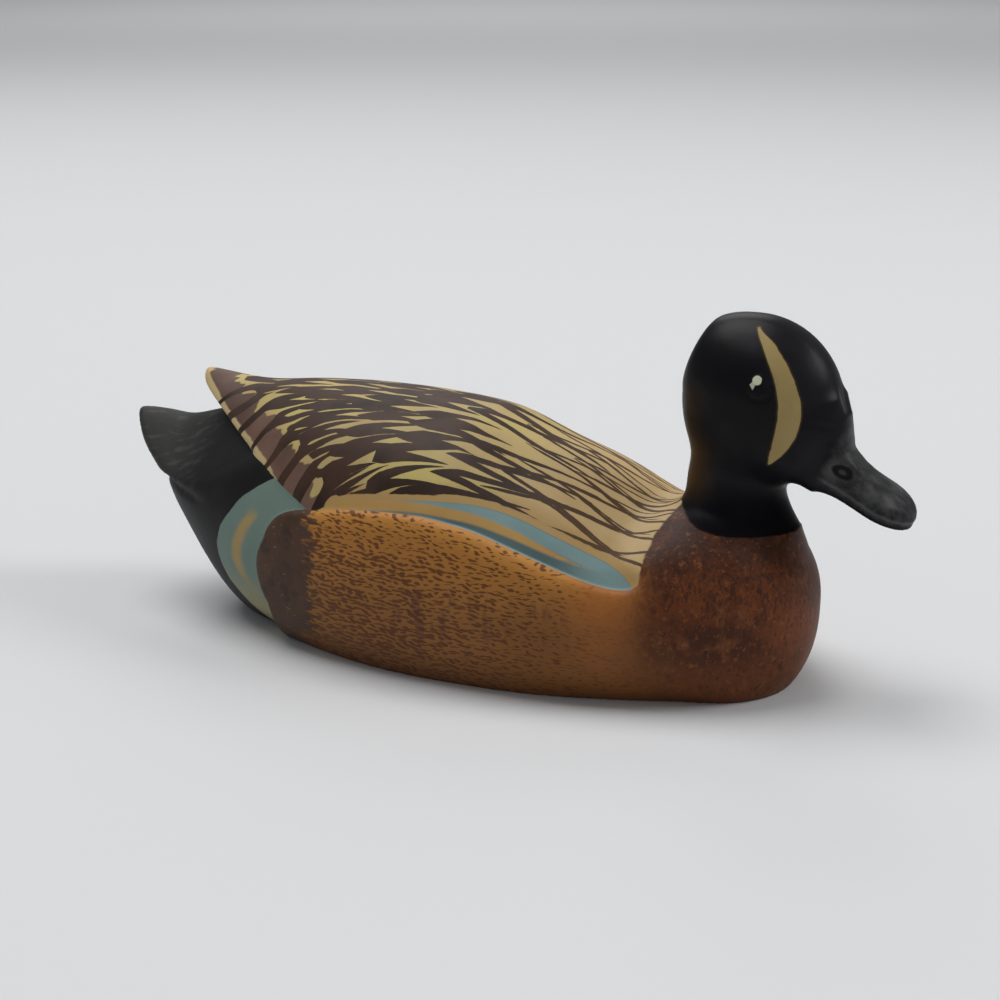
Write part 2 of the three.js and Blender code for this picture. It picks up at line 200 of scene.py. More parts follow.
def rump_with_tail(x, y, z):
    """The rump lies lower than the flanks. The tail's fan stands out over it and ends in a ledge."""
    stern = measured(body_gauge(stern_rear), x, y, z)
    roof = ROOF["slant"] * (z - roof_z(x, y))
    rump = blend_max(stern + RUMP["sunk"] + rise(z, *RUMP["sunk_above"]), roof, RUMP["blend"])
    ledge = FAN["ledge_z"] - FAN["ledge_rake"] * (x - FAN["back_x"]) - z
    ahead = step(x, FAN["back_x"], FAN["front_x"])
    fan = stern + FAN["proud"] + rise(z, *FAN["in_below"]) + FAN["in_ahead"] * ahead
    fan = blend_max(fan, roof, FAN["roof_blend"])
    fan = blend_max(fan, ledge, FAN["ledge_blend"])
    rump = rump + bump(ledge, *FAN["crease"]) * (1 - ahead) * step(x, *FAN["crease_x"])
    return blend_min(rump, fan, FAN["blend"])


def body_parts(x, y, z):
    """Distances to the rump with its tail, to the back with its wings and to the flanks with the breast."""
    rump = rump_with_tail(x, y, z)
    wing = measured(body_gauge(lambda z: WING["rear"]), x, y, z)
    wing = wing + WING["sunk"] - rise(x, *WING["front_out"]) * step(z, *WING["front_out_z"])
    wing = blend_max(wing, -wing_under(x, z), WING["blend"])
    flank = measured(body_gauge(lambda z: FLANK["rear"]), x, y, z)
    flank = blend_max(flank, flank_region(x, z), FLANK["blend"])
    return rump, wing, flank


def neck(x, y, z):
    def gauge(x, y, z):
        bend = np.sin(0.5 * np.pi * np.clip((z - NECK["back_from"]) / NECK["back_over"], 0, 1))
        middle = NECK["x"] - NECK["back"] * bend + rise(z, *NECK["ahead"])
        radius = NECK["radius"] + NECK["flare"] * ramp(NECK["flare_z"] - z, NECK["flare_soft"])
        radius = radius - NECK["tuck"] * ramp(NECK["tuck_z"] - z, NECK["tuck_soft"])
        radius = np.maximum(radius + rise(z, *NECK["slim"]), NECK["least_radius"])
        return ((x - middle) / radius) ** 2 + (y / (NECK["narrow"] * radius)) ** 2 - 1
    column = np.maximum(measured(gauge, x, y, z), np.hypot(x - NECK["reach_x"], y) - NECK["reach"])
    column = blend_max(column, z - NECK["top"], NECK["blend"])
    return blend_max(column, NECK["bottom"] - z, NECK["blend"])


def head(x, y, z):
    def gauge(x, y, z):
        above = z - HEAD["z"]
        ahead = x - HEAD["x"]
        ahead = ahead + HEAD["lean"] * above * np.where(above > 0, 1, step(ahead, *HEAD["chin_x"]))
        half = HEAD["half"] * (1 - rise(ahead, *HEAD["face_slim"]) - rise(above, *HEAD["crown_slim"]))
        high = power(above / HEAD["up"], HEAD["above"])
        low = power(above / HEAD["down"], HEAD["below"])
        zn = np.where(above > 0, high, low)
        return power(ahead / HEAD["long"], HEAD["along"]) + power(y / half, HEAD["across"]) + zn - 1
    rake = HEAD["nape_rake"]
    nape = (HEAD["nape_x"] - x + rake * (z - HEAD["nape_z"])) / math.hypot(1, rake)
    shape = blend_max(measured(gauge, x, y, z), nape, HEAD["nape_blend"])
    crown = step(z, *CROWN["z"]) * step(x, *CROWN["back_x"]) * (1 - step(x, *CROWN["front_x"]))
    beside = step(y, *CROWN["inner_y"]) * (1 - step(y, *CROWN["outer_y"]))
    shape = shape + CROWN["carve"] * crown * beside
    away = np.hypot(x - EYE["x"], z - EYE["z"]) / EYE["radius"]
    ball = np.sqrt(np.clip(1 - away ** 2, 0, 1))
    return shape - (EYE["proud"] * ball - bump(away, *EYE["groove"])) * step(y, *EYE["side_y"])


def bill_axes(x, z):
    """Distances along the bill from its root and over its middle line."""
    cos, sin = math.cos(BILL["pitch"]), math.sin(BILL["pitch"])
    dx, dz = x - BILL["x"], z - BILL["z"]
    return dx * cos - dz * sin, dx * sin + dz * cos


def bill(x, y, z):
    def gauge(x, y, z):
        along, over = bill_axes(x, z)
        end = np.clip((along - BILL["round_from"]) / (BILL["long"] - BILL["round_from"]), 0, 1)
        round_off = np.sqrt(np.maximum(1 - end ** BILL["round"], 0))
        half = (BILL["half"] + rise(along, *BILL["spread"])) * round_off + BILL["thinnest"]
        half = half * (1 - rise(over, *BILL["slim_above"]))
        from_root = np.maximum(along, BILL["root_top_from"])
        ridge = BILL["top"] + BILL["root_top"] * np.exp(-from_root / BILL["root_top_over"])
        top = (ridge - BILL["lip"]) * (0.25 + 0.75 * round_off)
        root_under = BILL["root_under"] * np.exp(-np.maximum(along, 0) / BILL["root_under_over"])
        under = BILL["under"] * (0.3 + 0.7 * round_off) + root_under
        level = over - BILL["lip"]
        top = top - rise(along, *BILL["dish"]) * np.clip(1 - (y / half) ** 2, 0, 1)
        high = power(level / top, BILL["square"])
        low = power(level / under, BILL["square_under"])
        return power(y / half, BILL["square"]) + np.where(level > 0, high, low) - 1
    along, over = bill_axes(x, z)
    shape = measured(gauge, x, y, z)
    shape = shape + bump(over - BILL["lip"], *BILL["gape"]) * step(along, *BILL["gape_x"])
    out = np.hypot((along - NOSTRIL["along"]) / NOSTRIL["long"], (over - NOSTRIL["over"]) / NOSTRIL["tall"])
    hole = np.exp(-(out ** 4)) * NOSTRIL["deep"] - bump(out, *NOSTRIL["tongue"])
    shape = shape + (hole - bump(out, *NOSTRIL["rim"])) * step(y, *NOSTRIL["side_y"])
    shape = np.maximum(blend_max(shape, BILL["root"] - along, BILL["root_blend"]), along - BILL["long"])
    return np.maximum(shape, np.sqrt((along - BILL["ball_at"]) ** 2 + y * y + over * over) - BILL["ball"])


def duck(x, y, z):
    """Distance to the whole figurine, below zero inside."""
    rump, wing, flank = body_parts(x, y, z)
    body = blend_min(blend_min(rump, wing, FILLET["wing"]), flank, FILLET["flank"])
    _, over = bill_axes(x, z)
    top = blend_min(head(x, y, z), bill(x, y, z), FILLET["bill"] + rise(over, *FILLET["bill_more"]))
    top = blend_min(top, neck(x, y, z), FILLET["head"])
    return np.maximum(blend_min(top, body, FILLET["neck"]), -z)


# The mesh. The grid is finer at the head and along the middle.
GRID = {"gap": 0.68, "quick_gap": 1.1, "rear": -81, "head_x": 49, "front": 80.6, "head_z": 36, "top": 66,
        "head_share": 0.55, "middle": 11.4, "middle_share": 0.7, "side": 30.5, "side_share": 0.85}
PULLS = 2
LONGEST_PULL = 0.3
NORMAL_PROBE = 0.12


def surface_nets(d, xs, ys, zs):
    """Vertices and quads of the zero level of d, which is below zero inside."""
    inside = d < 0
    nx, ny, nz = d.shape
    corners = [(i, j, k) for i in (0, 1) for j in (0, 1) for k in (0, 1)]
    count = sum(inside[i:nx - 1 + i, j:ny - 1 + j, k:nz - 1 + k].astype(np.int8) for i, j, k in corners)
    active = (count > 0) & (count < 8)
    index = np.full(active.shape, -1, np.int64)
    index[active] = np.arange(active.sum())
    cell = np.nonzero(active)
    total = np.zeros((active.sum(), 3))
    hits = np.zeros(active.sum())
    value = {q: d[cell[0] + q[0], cell[1] + q[1], cell[2] + q[2]].astype(float) for q in corners}
    for a in corners:
        for axis in range(3):
            if a[axis] == 0:
                b = tuple(1 if n == axis else a[n] for n in range(3))
                crossing = (value[a] < 0) != (value[b] < 0)
                span = np.where(crossing, value[a] - value[b], 1)
                point = np.tile(np.array(a, float), (len(hits), 1))
                point[:, axis] += np.where(crossing, value[a] / span, 0)
                total += point * crossing[:, None]
                hits += crossing
    local = total / hits[:, None]
    points = np.empty_like(local)
    for axis, grid in enumerate((xs, ys, zs)):
        points[:, axis] = grid[cell[axis]] + local[:, axis] * np.diff(grid)[cell[axis]]
    return points, np.concatenate([faces_across(inside, index, axis) for axis in range(3)])


def faces_across(inside, index, axis):
    """Quads round the grid's edges along one axis that cross the surface, facing out."""
    others = [n for n in range(3) if n != axis]
    near = tuple(slice(0, -1) if n == axis else slice(1, -1) for n in range(3))
    far = tuple(slice(1, None) if n == axis else slice(1, -1) for n in range(3))
    edge = inside[near] != inside[far]
    base = np.array(np.nonzero(edge)).T
    base[:, others] += 1
    ring = []
    for first, second in ((-1, -1), (0, -1), (0, 0), (-1, 0)):
        at = base.copy()
        at[:, others[0]] += first
        at[:, others[1]] += second
        ring.append(index[at[:, 0], at[:, 1], at[:, 2]])
    quads = np.stack(ring, 1)
    outward = inside[near][edge] != (axis == 1)
    quads[~outward] = quads[~outward][:, ::-1]
    return quads


def spaced(stops):
    """Grid positions through stops of (start, spacing), the last one being the end."""
    runs = []
    for (start, gap), (end, _) in zip(stops, stops[1:]):
        runs.append(np.linspace(start, end, max(1, round((end - start) / gap)), endpoint=False))
    return np.concatenate(runs + [[stops[-1][0]]])


def normals_at(points):
    """Directions out of the duck, for the points of both halves."""
    e = NORMAL_PROBE
    x, y, z = points.T
    y = np.abs(y)
    n = np.stack([
        duck(x + e, y, z) - duck(x - e, y, z),
        duck(x, y + e, z) - duck(x, np.abs(y - e), z),
        duck(x, y, z + e) - duck(x, y, z - e),
    ], 1)
    n[:, 1] *= np.sign(points[:, 1])
    return n / np.maximum(np.linalg.norm(n, axis=1, keepdims=True), 1e-9)


def duck_surface(quick):
    """Points and quads of the duck. Half of the grid is worked out and mirrored, then the points are pulled
    onto the form."""
    gap = GRID["quick_gap"] if quick else GRID["gap"]
    small = GRID["head_share"] * gap
    middle = GRID["middle_share"] * gap
    first = GRID["middle_share"] / 2 * gap
    xs = spaced([(GRID["rear"], gap), (GRID["head_x"], small), (GRID["front"], 0)])
    zs = spaced([(-small, gap), (GRID["head_z"], small), (GRID["top"], 0)])
    half = spaced([(first, middle), (GRID["middle"], GRID["side_share"] * gap), (GRID["side"], 0)])
    x, y, z = (a.astype(np.float32) for a in np.meshgrid(xs, half, zs, indexing="ij", sparse=True))
    d = duck(x, y, z)
    d = np.concatenate([d[:, ::-1], d], 1)
    ys = np.concatenate([-half[::-1], half])
    points, quads = surface_nets(d, xs, ys, zs)
    for _ in range(PULLS):
        shift = duck(points[:, 0], np.abs(points[:, 1]), points[:, 2])
        points -= normals_at(points) * np.clip(shift, -LONGEST_PULL, LONGEST_PULL)[:, None]
    return points, quads


# Where the paint goes, in side view. The curves are pairs of x and z. The crescent's and the patch's, which
# run upwards, are pairs of z and x, and the stripe's are pairs of x and a share of the speculum's height.
SPECULUM_TOP = ((-40, 20), (-27, 24.5), (-21.5, 27.6), (-17.7, 29.8), (-8, 31.0), (-0.4, 31.6), (7.8, 31.7),
                (15.6, 30.2), (23.4, 27.5), (29.9, 25.0), (34, 23.6), (37, 21.7), (38.4, 19.6), (45, 13))
SPECULUM_LEAST = 1.2
STRIPE_TOP = ((-30, -0.3), (-8, -0.08), (-2.2, 0.14), (4.4, 0.28), (10.9, 0.36), (17.4, 0.39), (24, 0.46),
              (40, 0.56))
STRIPE_FOOT = ((-30, 1.2), (-16, 0.92), (-2.2, 0.77), (4.4, 0.73), (10.9, 0.69), (17.4, 0.65), (24, 0.62),
               (30, 0.47))
CRESCENT_REAR = ((40.6, 54.9), (43.5, 55.7), (46.2, 56.4), (49.1, 56.8), (51.9, 56.7), (54.5, 56.0),
                 (57.4, 54.6), (60.1, 52.8), (62.6, 50.9))
CRESCENT_FRONT = ((40.6, 54.9), (42.2, 57.0), (44.2, 58.6), (46.2, 59.7), (48.6, 60.2), (51.6, 59.9),
                  (54.8, 58.8), (57.7, 57.0), (60.6, 54.4), (62.6, 51.2))
CRESCENT_ENDS = (40.9, 62.6)
PATCH_EDGE = ((0, -37), (3, -39.5), (6.3, -42.5), (9.6, -45.6), (13, -47.1), (16.6, -47.2), (20.6, -45.4),
              (26.8, -40.3), (30.6, -34.2), (33, -29))
BAR_LINE = ((8.5, -37.2), (10.3, -38.9), (12.3, -40.5), (15, -41.5), (18.2, -40.9), (21.2, -39.3),
            (24.6, -36.6))
COLLAR = ((34, 33.6), (40.1, 31.2), (44.8, 29.4), (48.1, 28.6), (51.8, 28.2), (60, 28.1))
COLLAR_REAR = {"x": 37.5, "z": 30, "rake": 0.5}
EYE_DOT = (53.2, 55.0)

# The feathers' columns. Their width and how they draw in down the side are cubics of x over the scale.
FEATHER_LINES = {"front_x": 39, "straight_x": 24, "straight_over": 12, "scale": 40, "sunk": 1,
                 "width": (28.3, 5.9, -5.9, 2.5), "draw_in": (7.0, 0.3, 2.7, 4.7), "spread": 0.033}
WING_EDGE = {"sweep": 36, "half": 25, "curve": 1.2, "ahead": 0.64, "along": (0.77, 0.54, 0.34)}


def cubic(s, a, b, c, d):
    return a + s * (b + s * (c + s * d))


def feather_places(x, y, z):
    """Rows and columns of the back's feathers, and the distances from and along the wings' rear edge."""
    side = np.abs(y)
    straight_x = FEATHER_LINES["straight_x"]
    until_straight = np.minimum(x, straight_x)
    share = np.clip(np.where(x > 0, until_straight / BODY["front"], -x / WING["rear"]), 0, 0.995)
    narrow = 1 - share ** np.where(x > 0, BODY["plan_front"], BODY["plan_rear"])
    half = (BODY["half"] - FEATHER_LINES["sunk"]) * narrow ** (1 / BODY["side"])
    tall = (back_height(x) - FEATHER_LINES["sunk"]) * np.where(x > 0, narrow ** (1 / BODY["up"]), 1)
    up = (z - BODY["widest"]) / tall
    flat_up = (1 - np.minimum(side / half, 0.98) ** BODY["side"]) ** (1 / BODY["up"])
    flat = step(x, straight_x - FEATHER_LINES["straight_over"], straight_x)
    angle = np.arctan2(side / half, up + (flat_up - up) * flat)
    s = until_straight / FEATHER_LINES["scale"]
    column = angle * cubic(s, *FEATHER_LINES["width"])
    column = column - angle ** 2 * cubic(s, *FEATHER_LINES["draw_in"])
    column = column * (1 + FEATHER_LINES["spread"] * column)
    tip_x, tip_z = WING["tip"]
    edge_x = tip_x + WING_EDGE["sweep"] * (side / WING_EDGE["half"]) ** WING_EDGE["curve"]
    ahead = WING_EDGE["ahead"] * (x - edge_x)
    by_x, by_side, by_drop = WING_EDGE["along"]
    along_edge = by_x * (x - tip_x) + by_side * side - by_drop * (z - tip_z)
    return FEATHER_LINES["front_x"] - x, column * np.sign(y), ahead, along_edge


def paint_fields(points):
    """Smooth fields for the shader. Most are zero on a painted edge and grow inside it."""
    x, y, z = points.T
    side = np.abs(y)
    rump, wing, flank = body_parts(x, side, z)
    row, column, ahead, along_edge = feather_places(x, y, z)
    top = on_curve(SPECULUM_TOP, x)
    height = np.maximum(top - pocket_edge(x), SPECULUM_LEAST)
    share = (top - z) / height
    stripe = np.minimum(share - on_curve(STRIPE_TOP, x), on_curve(STRIPE_FOOT, x) - share) * height
    along_bill, over_bill = bill_axes(x, z)
    ends = np.minimum(z - CRESCENT_ENDS[0], CRESCENT_ENDS[1] - z)
    crescent = np.minimum(x - on_curve(CRESCENT_REAR, z), on_curve(CRESCENT_FRONT, z) - x)
    collar_rear = x - COLLAR_REAR["x"] + COLLAR_REAR["rake"] * (z - COLLAR_REAR["z"])
    return {
        "x": x, "y": y, "z": z,
        "feather_row": row, "feather_column": column,
        "from_wing_edge": ahead, "along_wing_edge": along_edge,
        "is_wing": rump - wing, "is_flank": np.minimum(rump, wing) - flank,
        "is_head": np.minimum(z - on_curve(COLLAR, x), collar_rear),
        "speculum": top - z, "speculum_share": share, "stripe": stripe,
        "crescent": np.minimum(crescent, ends),
        "patch": x - on_curve(PATCH_EDGE, z), "bar": np.abs(x - on_curve(BAR_LINE, z)),
        "bill": along_bill, "bill_over": over_bill,
        "eye": np.hypot(x - EYE_DOT[0], z - EYE_DOT[1]),
        "from_tip": np.sqrt((x - WING["tip"][0]) ** 2 + side ** 2),
        "lip": z - pocket_edge(x),
    }


# The paint's colours, as a display shows them, from 0 to 255
PALETTE = {
    "cream": (194, 166, 118), "warm cream": (180, 158, 107), "yellow cream": (200, 184, 104),
    "cream stain": (170, 136, 84), "cream over the speculum": (176, 144, 92),
    "wing panel": (116, 89, 76), "dark wing panel": (90, 68, 58),
    "wing rim": (190, 168, 122), "wing tip": (206, 178, 124),
    "feather": (68, 47, 36), "dark feather": (46, 31, 22), "feather at the neck": (92, 66, 42),
    "tan": (188, 152, 92), "dark tan": (176, 138, 80),
    "blue": (136, 160, 158), "dark blue": (112, 140, 142), "blue rim": (150, 172, 172),
    "slate": (92, 112, 112), "dark slate": (78, 98, 100), "green edge": (96, 108, 96),
    # Painted shade darkens the flank below; its lip is lighter, partly with painted highlight.
    "flank": (170, 114, 53), "flank in painted shade": (142, 95, 46), "flank's foot in painted shade": (112, 74, 42),
    "flank's lip with painted highlight": (198, 138, 66), "flank behind the breast": (118, 74, 34), "toe": (172, 106, 50),
    "mottle": (104, 66, 48), "dash": (88, 50, 30),
    "red": (104, 53, 23), "dark red": (66, 32, 13), "rust": (120, 70, 36),
    "breast beside the flank": (158, 92, 45), "top of the breast": (58, 33, 23),
    "foot of the breast": (124, 72, 38),
    "breast streak": (54, 30, 20), "breast grain": (42, 25, 18), "breast speck": (140, 84, 42),
    "breast smudge": (44, 30, 27),
    "cap": (88, 65, 50), "dark cap": (66, 47, 37), "cap speck": (150, 112, 76), "cap grain": (50, 36, 30),
    # The tail's two greys are painted sheen on the black.
    "rump": (20, 20, 22), "worn rump": (35, 34, 35), "tail": (62, 62, 59), "tail's sheen streak": (88, 88, 82),
    "teal": (118, 138, 128), "dark teal": (104, 124, 116), "foot of the patch": (164, 154, 114),
    "ochre bar": (176, 146, 88),
    "head": (17, 16, 19), "worn head": (28, 27, 31), "olive": (78, 57, 31),
    # On the bill, the lighter mottling on top is partly painted sheen, the light line along the lip a
    # painted highlight and the dark nostril painted shade.
    "bill": (40, 40, 42), "worn bill": (66, 66, 66), "bill's top with painted sheen": (88, 88, 86), "painted highlight on the lip": (98, 98, 98),
    "nostril": (20, 20, 22), "crescent's rim": (66, 50, 28), "crescent": (166, 146, 98),
    "dark crescent": (150, 130, 84), "eye dot": (204, 208, 182),
}


def shader_colour(name):
    """A colour of the palette as the linear light that shaders use."""
    parts = [c / 255 for c in PALETTE[name]]
    return tuple(c / 12.92 if c < 0.04045 else ((c + 0.055) / 1.055) ** 2.4 for c in parts) + (1.0,)


# Arithmetic with shader nodes. These are the places of a colour mix's sockets.
MIX_AMOUNT, MIX_BASE, MIX_COAT, MIX_RESULT = 0, 6, 7, 2


class Num:
    """A socket in a shader that takes part in arithmetic."""

    def __init__(self, shader, socket):
        self.shader, self.socket = shader, socket

    def __add__(self, other):
        return self.shader.math("ADD", self, other)

    def __radd__(self, other):
        return self.shader.math("ADD", other, self)

    def __sub__(self, other):
        return self.shader.math("SUBTRACT", self, other)

    def __rsub__(self, other):
        return self.shader.math("SUBTRACT", other, self)

    def __mul__(self, other):
        return self.shader.math("MULTIPLY", self, other)

    def __truediv__(self, other):
        return self.shader.math("DIVIDE", self, other)


class Shader:
    def __init__(self, name):
        self.material = bpy.data.materials.new(name)
        self.material.use_nodes = True
        self.tree = self.material.node_tree
        self.surface = self.tree.nodes["Principled BSDF"]

    def node(self, kind, inputs=None, **settings):
        made = self.tree.nodes.new(kind)
        for name, value in settings.items():
            setattr(made, name, value)
        for key, value in (inputs or {}).items():
            self.feed(made.inputs[key], value)
        return made

    def feed(self, socket, value):
        """Links a socket to a Num, or gives it a colour of the palette or a plain value."""
        if isinstance(value, Num):
            self.tree.links.new(value.socket, socket)
        else:
            socket.default_value = shader_colour(value) if isinstance(value, str) else value

    def math(self, operation, *values):
        made = self.node("ShaderNodeMath", operation=operation)
        for socket, value in zip(made.inputs, values):
            self.feed(socket, value)
        return Num(self, made.outputs[0])

    def largest(self, a, b):
        return self.math("MAXIMUM", a, b)

    def least(self, a, b):
        return self.math("MINIMUM", a, b)

    def absolute(self, a):
        return self.math("ABSOLUTE", a)

    def field(self, name):
        return Num(self, self.node("ShaderNodeAttribute", attribute_name=name).outputs["Fac"])

    def vector(self, x, y, z=0.0):
        return Num(self, self.node("ShaderNodeCombineXYZ", {"X": x, "Y": y, "Z": z}).outputs[0])

    def noise(self, place, scale, detail=2.0, roughness=0.5):
        made = self.node("ShaderNodeTexNoise", {
            "Vector": place, "Scale": scale, "Detail": detail, "Roughness": roughness})
        return Num(self, made.outputs[0])

    def wave(self, place, scale, detail):
        """Noise about zero."""
        return self.noise(place, scale, detail) - 0.5

    def chance(self, place):
        """Three random numbers for a place, the same each time."""
        made = self.node("ShaderNodeTexWhiteNoise", {"Vector": place}, noise_dimensions="3D")
        parts = self.node("ShaderNodeSeparateColor", {"Color": Num(self, made.outputs["Color"])})
        return [Num(self, socket) for socket in parts.outputs]

    def fade(self, value, start, end, low=0.0, high=1.0):
        """Goes smoothly from low to high as value goes from start to end."""
        made = self.node("ShaderNodeMapRange", {
            "Value": value, "From Min": start, "From Max": end, "To Min": low, "To Max": high},
            interpolation_type="SMOOTHSTEP")
        return Num(self, made.outputs[0])

    def spots(self, place, scale, start, end, detail=3, roughness=0.5):
        """Irregular spots, where the noise is above a level between start and end."""
        return self.fade(self.noise(place, scale, detail, roughness), start, end)

    def over(self, base, coat, amount):
        """Lays a coat over a base."""
        made = self.node("ShaderNodeMix", data_type="RGBA", clamp_factor=True)
        self.feed(made.inputs[MIX_AMOUNT], amount)
        self.feed(made.inputs[MIX_BASE], base)
        self.feed(made.inputs[MIX_COAT], coat)
        return Num(self, made.outputs[MIX_RESULT])


# The paint. Fades over x, y, z and distances are in millimetres, and noise over a place is in metres.
ROUGH_GRAIN = 0.65
FAR_OUTSIDE = 5.0
FEATHER = {"row": 10.4, "column": 5.8, "rows": 4, "seed": 7.0, "neck_rows": (4.2, 2.2),
           "narrowing": (1.8, 8.0, 0.8, 2.3), "apex": 0.7, "apex_spread": 0.6, "side_spread": 0.35,
           "long": 16.0, "longer_at_neck": 12.0, "thick": 2.45, "thinner_at_neck": 2.0,
           "size": 0.85, "size_spread": 0.35, "taper": 0.8, "taper_less_at_neck": 0.45,
           "tip": 0.22, "tip_power": 0.8, "bend": 0.14, "bend_spread": 0.05,
           "bend_at_neck": 0.01, "bend_at_neck_spread": 0.09, "left_out": (0.0, 1.0, 0.6, 0.14)}
BAR = {"gap": 5.5, "fan": 0.4, "fan_less": 0.014, "waver": 0.7, "seed": 5.0}
DASH = {"long": 1.55, "tall": 0.74, "shift": 0.618, "seed": 3.0, "side_spread": 0.6, "up_spread": 0.7,
        "tilt": 0.4, "half_long": 0.45, "long_spread": 0.65, "half_thick": 0.08, "thick_spread": 0.2}
FINISH = {"rough": 0.46, "rough_spread": 0.12, "head_smoother": 0.14, "shine": 0.19, "head_less": 0.08,
          "neck_dull": 0.09, "neck_z": (38, 31), "grain": 0.12, "grain_deep": 0.0004}


def feather_ink(s, row, column):
    """How far inside a painted V stroke each place is. The strokes point to the tail in staggered rows."""
    first = s.math("FLOOR", row / FEATHER["row"])
    ink = None
    for step_row in range(FEATHER["rows"]):
        this_row = first + float(step_row)
        shift = s.math("FLOORED_MODULO", this_row, 2.0) * 0.5
        near_neck = s.fade(this_row, *FEATHER["neck_rows"])
        here_column = column * s.fade(this_row, *FEATHER["narrowing"])
        first_column = s.math("FLOOR", here_column / FEATHER["column"] - shift)
        for step_column in (0.0, 1.0):
            this_column = first_column + step_column
            a, b, c = s.chance(s.vector(this_row, this_column, FEATHER["seed"]))
            apex = (this_row + FEATHER["apex"] + a * FEATHER["apex_spread"]) * FEATHER["row"]
            middle = (this_column + shift + (b - 0.5) * FEATHER["side_spread"]) * FEATHER["column"]
            ahead = apex - row
            aside = s.absolute(here_column - middle)
            length = FEATHER["long"] + near_neck * FEATHER["longer_at_neck"]
            length = length * (FEATHER["size"] + c * FEATHER["size_spread"])
            thick = FEATHER["thick"] - near_neck * FEATHER["thinner_at_neck"]
            thick = thick * (FEATHER["size"] + b * FEATHER["size_spread"])
            share = ahead / length
            taper_power = FEATHER["taper"] - near_neck * FEATHER["taper_less_at_neck"]
            taper = s.math("POWER", s.largest(1.0 - share, 0.0), taper_power)
            tip = s.least(s.largest(ahead * FEATHER["tip"], 0.0), 1.0)
            tip = s.math("POWER", tip, FEATHER["tip_power"])
            neck_bend = near_neck * (FEATHER["bend_at_neck"] + b * FEATHER["bend_at_neck_spread"])
            bend = ahead * (FEATHER["bend"] + a * FEATHER["bend_spread"] + neck_bend)
            off = s.math("GREATER_THAN", s.absolute(share - 0.5), 0.5)
            off = off + near_neck * s.math("LESS_THAN", c, s.fade(this_row, *FEATHER["left_out"]))
            here = thick * taper * tip - s.absolute(aside - bend) - off * FAR_OUTSIDE
            ink = here if ink is None else s.largest(ink, here)
    return ink


def bar_ink(s, ahead, along_edge):
    """How far inside one of the bars each place is. They fan out to the wings' rear edge."""
    place = (along_edge - ahead * (BAR["fan"] - along_edge * BAR["fan_less"])) / BAR["gap"]
    place = place + s.noise(s.vector(along_edge * 0.16, ahead * 0.1, 3.0), 1.0, 1) * BAR["waver"]
    off = s.absolute(s.math("FRACT", place) - 0.5) * BAR["gap"]
    a, _, _ = s.chance(s.vector(s.math("FLOOR", place), 1.0, BAR["seed"]))
    half = s.fade(ahead - a * 2.0, 2.5, 7, 0.85 + a * 0.3, 1.7) - s.fade(ahead, 3, 0, 0.0, 0.2)
    return half - off


def dash_ink(s, u, v):
    """How far inside a short wavy brush mark each place is."""
    first_row = s.math("FLOOR", v / DASH["tall"])
    ink = None
    for step_row in (0.0, 1.0):
        this_row = first_row + step_row
        shift = s.math("FRACT", this_row * DASH["shift"])
        first = s.math("FLOOR", u / DASH["long"] - shift)
        for step_column in (0.0, 1.0):
            this_column = first + step_column
            a, b, c = s.chance(s.vector(this_row, this_column, DASH["seed"]))
            du = u - (this_column + shift + (a - 0.5) * DASH["side_spread"]) * DASH["long"]
            dv = v - (this_row + (b - 0.5) * DASH["up_spread"]) * DASH["tall"]
            dv = dv + du * (c - 0.5) * DASH["tilt"]
            share = s.absolute(du / (DASH["half_long"] + a * DASH["long_spread"]))
            half = (DASH["half_thick"] + c * DASH["thick_spread"]) * (1.0 - share * share)
            here = half - s.absolute(dv)
            ink = here if ink is None else s.largest(ink, here)
    return ink


def back_paint(s, place, wander):
    row, column = s.field("feather_row"), s.field("feather_column")
    ahead, along_edge = s.field("from_wing_edge"), s.field("along_wing_edge")
    rows = row + s.wave(place, 75, 1) * 3.0
    columns = column + s.wave(place, 80, 1) * s.fade(row, 22, 36, 0.9, 2.2)
    bars = bar_ink(s, ahead + s.wave(place, 110, 1) * 1.5, along_edge) - s.fade(along_edge, 10, 7.5) * 3.0
    above_speculum = s.field("speculum") * -1.0 - 0.9
    ink = s.least(feather_ink(s, rows, columns), above_speculum)
    ink = bars + (ink - bars) * s.fade(ahead, 5.0, 8.0)
    cream = s.over("cream", "warm cream", s.fade(row, 14, 40))
    cream = s.over(cream, "yellow cream", s.spots(place, 60, 0.45, 0.65) * s.fade(row, 18, 40) * 0.6)
    cream = s.over(cream, "cream stain", s.spots(place, 90, 0.52, 0.75, 4) * 0.45)
    cream = s.over(cream, "cream over the speculum", s.fade(s.field("speculum") + wander, -3.6, -0.8))
    panel = s.over("wing panel", "dark wing panel", s.spots(place, 90, 0.35, 0.65))
    panel_edge = ahead + s.wave(s.vector(along_edge * 0.4, 0.0), 1.0, 1) * 7.0
    cream = s.over(cream, panel, s.fade(panel_edge, 5.2, 4.8))
    dark = s.over("feather", "dark feather", s.spots(place, 120, 0.35, 0.7))
    dark = s.over(dark, "feather at the neck", s.fade(row, 26, 10) * 0.75)
    paint = s.over(cream, dark, s.fade(ink + wander * 0.3, -0.07, 0.07))
    rim = s.fade(ahead + wander * 0.4, 1.1, 0.8) * s.fade(bars, 0.1, -0.1)
    paint = s.over(paint, "wing rim", rim)
    return s.over(paint, "wing tip", s.fade(s.field("from_tip") + wander * 3.0, 3.4, 2.6))


